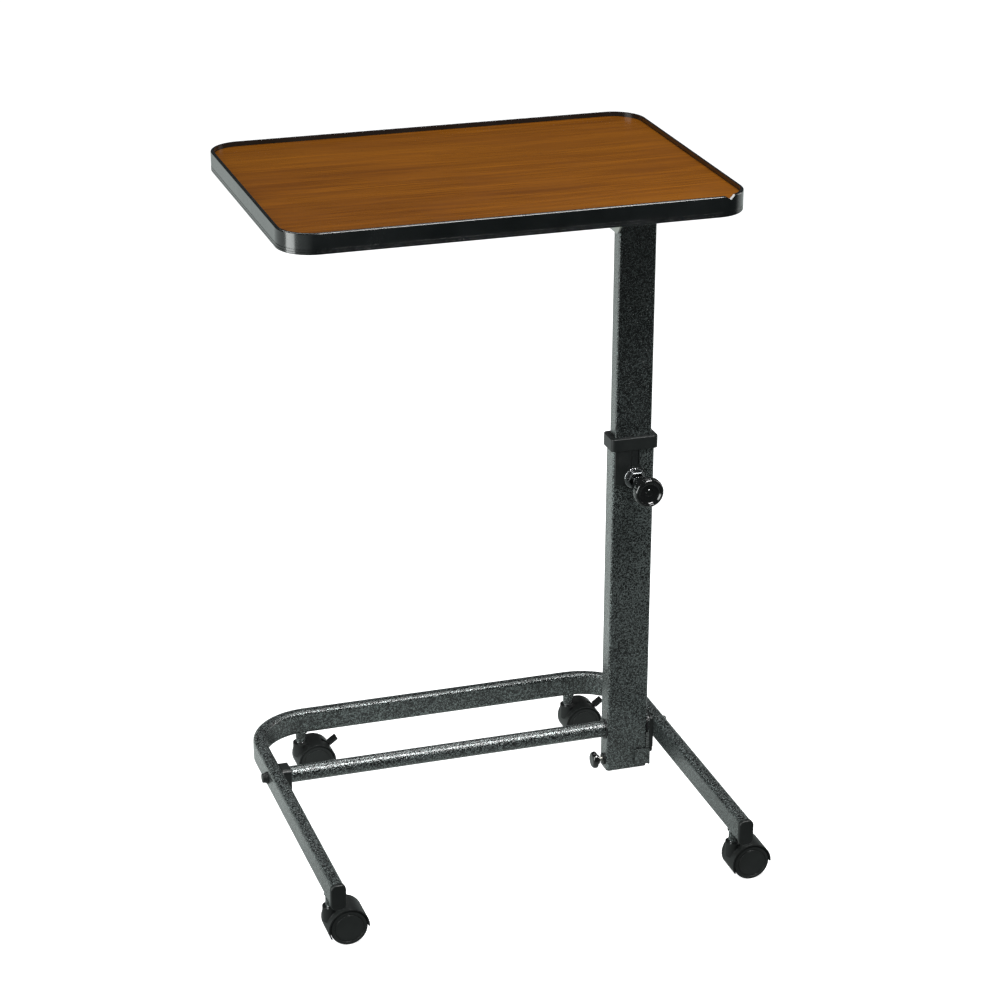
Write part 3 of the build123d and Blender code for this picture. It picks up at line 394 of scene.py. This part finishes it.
def turned(name, profile, cut, look, node, body):
    """A closed turned piece in place of a CAD node, from the node's back towards -Y. cut(radius, depth,
    angle) gives the radius that is really there."""
    low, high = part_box(node)
    back = Vector(((low.x + high.x) / 2, high.y, (low.z + high.z) / 2))
    mesh = bmesh.new()
    rings = []
    for radius, depth in profile:
        ring = []
        for i in range(TURNED_STEPS if radius else 1):
            angle = 2 * math.pi * i / TURNED_STEPS
            reach = cut(radius, depth, angle)
            spot = Vector((reach * math.cos(angle), -depth, reach * math.sin(angle)))
            ring.append(mesh.verts.new(back + spot * MM))
        rings.append(ring)
    for here, there in zip(rings, rings[1:]):
        bridge(mesh, here, there)
    if len(rings[0]) > 1:
        bridge(mesh, rings[-1], rings[0])
    bmesh.ops.recalc_face_normals(mesh, faces=mesh.faces)
    for edge in mesh.edges:
        if edge.calc_face_angle(0.0) > SHARP_ANGLE:
            edge.smooth = False
    piece(mesh, name, look, body, node)


turned("clamp_knob_moulding", KNOB_PROFILE, knob_flutes, GLOSS, "clamp_knob", "clamp_knob")
turned("clamp_washer_serrated", WASHER_PROFILE, washer_teeth, CHROME, "clamp_washer", "mast")


# ---------------------------------------------------------------- weld beads

LEG_HALF_FLAT = 3.25 * MM     # flat part of the base tube's underside, either side of its middle
LEG_CORNER = 6.0 * MM         # radius of the tube's corners
WELD_RADIUS = 7.4 * MM        # of the caster sockets
WELD_THICK = 1.9 * MM
WELD_STEPS, WELD_SIDES = 160, 14
WELD_RIPPLES = 26


def underside(offset):
    """How far the base tube's underside has risen at this distance from its middle."""
    over = max(0.0, min(abs(offset) - LEG_HALF_FLAT, LEG_CORNER * 0.98))
    return LEG_CORNER - math.sqrt(LEG_CORNER ** 2 - over ** 2)


def weld_bead(name, centre, across, seed):
    """A closed rippled bead round a socket, following the tube above it. across is the tube's width axis."""
    rng = random.Random(seed)
    phase = [rng.uniform(0, 2 * math.pi) for _ in range(3)]
    mesh = bmesh.new()
    rings = []
    for i in range(WELD_STEPS):
        a = 2 * math.pi * i / WELD_STEPS
        out = Vector((math.cos(a), math.sin(a), 0))
        rise = underside(WELD_RADIUS * out[across])
        wander = 0.10 * math.sin(3 * a + phase[0]) + 0.07 * math.sin(5 * a + phase[1])
        scallop = abs(math.sin(WELD_RIPPLES * a / 2 + 0.4 * math.sin(2 * a + phase[2])))
        size = WELD_THICK * (0.80 + wander + 0.22 * scallop)
        spot = centre + out * WELD_RADIUS + Vector((0, 0, rise * 0.55))
        ring = []
        for k in range(WELD_SIDES):
            b = 2 * math.pi * k / WELD_SIDES
            ring.append(mesh.verts.new(spot + out * size * math.cos(b) + Vector((0, 0, size * math.sin(b)))))
        rings.append(ring)
    for i, ring in enumerate(rings):
        bridge(mesh, ring, rings[(i + 1) % WELD_STEPS])
    bmesh.ops.recalc_face_normals(mesh, faces=mesh.faces)
    piece(mesh, name, HAMMER, "base")


TUBE_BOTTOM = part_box("base_frame")[0].z
for number, corner in enumerate(("front_left", "front_right", "rear_left", "rear_right")):
    low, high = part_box(corner + "_caster_stem")
    middle = (low + high) / 2
    width_axis = 1 if corner.startswith("rear") else 0
    weld_bead(corner + "_socket_weld", Vector((middle.x, middle.y, TUBE_BOTTOM)), width_axis, number + 3)


# ---------------------------------------------------------------- stage

FLOOR_HALF = 30.0             # half of the floor's side


def floor_look():
    """Pale studio floor. The object mirrors a bright sweep behind it and a dark room in front."""
    look = Look("studio_floor")
    look.set(Base_Color=look.mix(look.noise(1.2, 3.0), (0.70, 0.705, 0.71), (0.73, 0.735, 0.74)),
             Roughness=0.85, Specular_IOR_Level=0.1, Emission_Color=(1.0, 1.0, 1.0),
             Emission_Strength=0.82)
    apart = look.add("ShaderNodeSeparateXYZ")
    look.put(apart.inputs[0], look.coord)
    behind = look.span(apart.outputs["Y"], -0.6, 0.5)
    beside = look.span(apart.outputs["X"], -0.7, -1.8)
    sweep = look.math("MAXIMUM", behind, look.math("MULTIPLY", beside, 0.7))
    mirror = look.add("ShaderNodeEmission")
    look.put(mirror.inputs[0], look.mix(sweep, (0.060, 0.068, 0.066), (0.62, 0.68, 0.66)))
    bounce = look.add("ShaderNodeBsdfDiffuse")
    bounce.inputs[0].default_value = (0.30, 0.305, 0.305, 1.0)
    path = look.add("ShaderNodeLightPath")
    unseen = look.add("ShaderNodeMixShader")
    look.put(unseen.inputs[0], path.outputs["Is Glossy Ray"])
    look.tree.links.new(bounce.outputs[0], unseen.inputs[1])
    look.tree.links.new(mirror.outputs[0], unseen.inputs[2])
    swap = look.add("ShaderNodeMixShader")
    look.put(swap.inputs[0], path.outputs["Is Camera Ray"])
    look.tree.links.new(unseen.outputs[0], swap.inputs[1])
    look.tree.links.new(look.bsdf.outputs[0], swap.inputs[2])
    look.tree.links.new(swap.outputs[0], look.out.inputs[0])
    return look.mat


def studio_floor():
    h = FLOOR_HALF
    mesh = bpy.data.meshes.new("studio_floor_plane")
    mesh.from_pydata([(-h, -h, 0), (h, -h, 0), (h, h, 0), (-h, h, 0)], [], [(0, 1, 2, 3)])
    mesh.materials.append(floor_look())
    add_object("studio_floor_plane", mesh)


studio_floor()


def softbox(name, place, target, size, power, colour=(1, 1, 1)):
    data = bpy.data.lights.new(name, "AREA")
    data.shape = "RECTANGLE"
    data.size, data.size_y = size
    data.energy = power
    data.color = colour
    lamp = add_object(name, data)
    lamp.visible_camera = False
    lamp.location = place
    lamp.rotation_mode = "QUATERNION"
    lamp.rotation_quaternion = (Vector(target) - Vector(place)).to_track_quat("-Z", "Y")


softbox("softbox_left", (-1.9, -0.35, 0.95), (0, 0, 0.45), (1.0, 1.9), 42.0, (0.96, 1.0, 0.985))
softbox("softbox_front_top", (0.55, -1.0, 2.4), (0.1, 0, 0.6), (1.2, 0.55), 64.0)
softbox("softbox_rear_top", (0.0, 1.0, 2.2), (0, 0.1, 0.1), (1.8, 0.35), 17.0)
softbox("softbox_right", (2.2, 0.2, 1.2), (0, 0, 0.5), (0.8, 1.6), 9.0, (1.0, 0.99, 0.97))


def studio_world():
    """Soft light all round. The camera sees it white, so the floor has no horizon, and gloss sees it dark."""
    world = bpy.data.worlds.new("studio_world")
    world.use_nodes = True
    tree = world.node_tree
    tree.nodes.clear()
    path = tree.nodes.new("ShaderNodeLightPath")

    def glow(colour, strength):
        node = tree.nodes.new("ShaderNodeBackground")
        node.inputs[0].default_value = (*colour, 1.0)
        node.inputs[1].default_value = strength
        return node.outputs[0]

    def swap(ray, without, given):
        node = tree.nodes.new("ShaderNodeMixShader")
        tree.links.new(path.outputs[ray], node.inputs[0])
        tree.links.new(without, node.inputs[1])
        tree.links.new(given, node.inputs[2])
        return node.outputs[0]

    light = swap("Is Glossy Ray", glow((0.97, 0.985, 1.0), 0.30), glow((0.95, 0.98, 1.0), 0.04))
    seen = swap("Is Camera Ray", light, glow((1.0, 1.0, 1.0), 1.2))
    tree.links.new(seen, tree.nodes.new("ShaderNodeOutputWorld").inputs[0])
    bpy.context.scene.world = world


studio_world()
bpy.context.scene.view_settings.view_transform = "Standard"


# ---------------------------------------------------------------- camera

CAMERA_PLACE = (-1.093844, -3.374921, 1.956305)
CAMERA_YAW, CAMERA_PITCH, CAMERA_ROLL = 0.31657, 0.39282, -0.00507     # radians; yaw 0 looks along +Y
CAMERA_LENS = 103.64          # mm, on a 36 mm sensor


def studio_camera():
    yaw, pitch, roll = CAMERA_YAW, CAMERA_PITCH, CAMERA_ROLL
    ahead = Vector((math.sin(yaw) * math.cos(pitch), math.cos(yaw) * math.cos(pitch), -math.sin(pitch)))
    right = Vector((math.cos(yaw), -math.sin(yaw), 0))
    down = ahead.cross(right)
    side = right * math.cos(roll) + down * math.sin(roll)
    foot = down * math.cos(roll) - right * math.sin(roll)
    data = bpy.data.cameras.new("studio_camera")
    data.lens = CAMERA_LENS
    data.sensor_width = 36.0
    data.clip_end = 200.0
    cam = add_object("studio_camera", data)
    cam.matrix_world = Matrix((
        (side.x, -foot.x, -ahead.x, CAMERA_PLACE[0]),
        (side.y, -foot.y, -ahead.y, CAMERA_PLACE[1]),
        (side.z, -foot.z, -ahead.z, CAMERA_PLACE[2]),
        (0, 0, 0, 1),
    ))
    bpy.context.scene.camera = cam


studio_camera()
